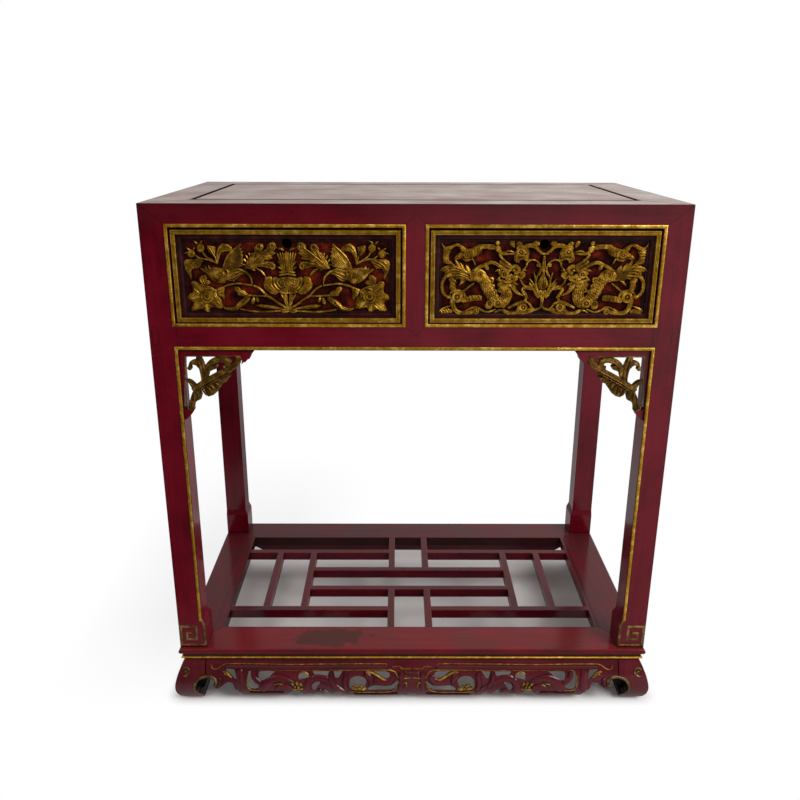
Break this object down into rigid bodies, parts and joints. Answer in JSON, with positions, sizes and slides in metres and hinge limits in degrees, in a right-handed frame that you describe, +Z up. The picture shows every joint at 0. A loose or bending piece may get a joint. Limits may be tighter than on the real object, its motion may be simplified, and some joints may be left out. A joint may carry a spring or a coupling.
{
  "type": "altar table",
  "caption": "Lacquered wooden altar table with carved gilded drawer fronts, pierced corner brackets, a low lattice shelf and scroll feet with carved aprons.",
  "frame": {"origin": "on the floor under the middle of the table", "axes": "+Z up, -Y towards the front with the drawers, +X to the right as seen from the front"},
  "size_m": [0.862, 0.51, 0.89],
  "materials": {
    "red_lacquer": "aged dark red lacquer, satin",
    "top_lacquer": "worn dark red lacquer, semi-gloss",
    "shelf_lacquer": "worn red lacquer with brown wear, satin",
    "gilt_bead": "aged gold leaf on wood",
    "gilt_carving": "aged gold leaf on carved wood",
    "dark_ground": "dark red-brown lacquer, matt",
    "plain_wood": "bare softwood"
  },
  "bodies": {
    "table": {"leg_front_left": "red_lacquer", "foot_front_left": "red_lacquer", "leg_front_right": "red_lacquer", "foot_front_right": "red_lacquer", "leg_rear_left": "red_lacquer", "foot_rear_left": "red_lacquer", "leg_rear_right": "red_lacquer", "foot_rear_right": "red_lacquer", "top_rail_front": "red_lacquer", "lower_rail_front": "red_lacquer", "base_rail_front": "shelf_lacquer", "apron_front": "red_lacquer", "top_rail_rear": "red_lacquer", "lower_rail_rear": "red_lacquer", "base_rail_rear": "shelf_lacquer", "apron_rear": "red_lacquer", "top_rail_left": "red_lacquer", "lower_rail_left": "red_lacquer", "base_rail_left": "shelf_lacquer", "apron_left": "red_lacquer", "top_rail_right": "red_lacquer", "lower_rail_right": "red_lacquer", "base_rail_right": "shelf_lacquer", "apron_right": "red_lacquer", "side_panel_left": "red_lacquer", "top_batten_left": "plain_wood", "drawer_runner_left": "plain_wood", "spandrel_left": "gilt_carving", "lattice_cross_left_bars": "shelf_lacquer", "side_panel_right": "red_lacquer", "top_batten_right": "plain_wood", "drawer_runner_right": "plain_wood", "spandrel_right": "gilt_carving", "lattice_cross_right_bars": "shelf_lacquer", "lattice_front_bars": "shelf_lacquer", "lattice_centre_front_bars": "shelf_lacquer", "lattice_rear_bars": "shelf_lacquer", "lattice_centre_rear_bars": "shelf_lacquer", "lattice_spine_bars": "shelf_lacquer", "back_panel": "red_lacquer", "centre_stile": "red_lacquer", "top_panel": "top_lacquer", "drawer_runner_centre": "plain_wood", "drawer_opening_beads": "gilt_bead", "arch_bead": "gilt_bead", "waist_bead": "gilt_bead"},
    "drawer_left": {"drawer_left_front_frame": "gilt_bead", "drawer_left_ground_board": "dark_ground", "drawer_left_carving": "gilt_carving", "drawer_left_bottom": "plain_wood", "drawer_left_outer_side": "plain_wood", "drawer_left_inner_side": "plain_wood", "drawer_left_back": "plain_wood"},
    "drawer_right": {"drawer_right_front_frame": "gilt_bead", "drawer_right_ground_board": "dark_ground", "drawer_right_carving": "gilt_carving", "drawer_right_bottom": "plain_wood", "drawer_right_outer_side": "plain_wood", "drawer_right_inner_side": "plain_wood", "drawer_right_back": "plain_wood"}
  },
  "joints": [
    {"name": "drawer_left_slide", "type": "slide", "parent": "table", "child": "drawer_left", "axis": [0, -1, 0], "range_m": [0, 0.3]},
    {"name": "drawer_right_slide", "type": "slide", "parent": "table", "child": "drawer_right", "axis": [0, -1, 0], "range_m": [0, 0.3]}
  ]
}
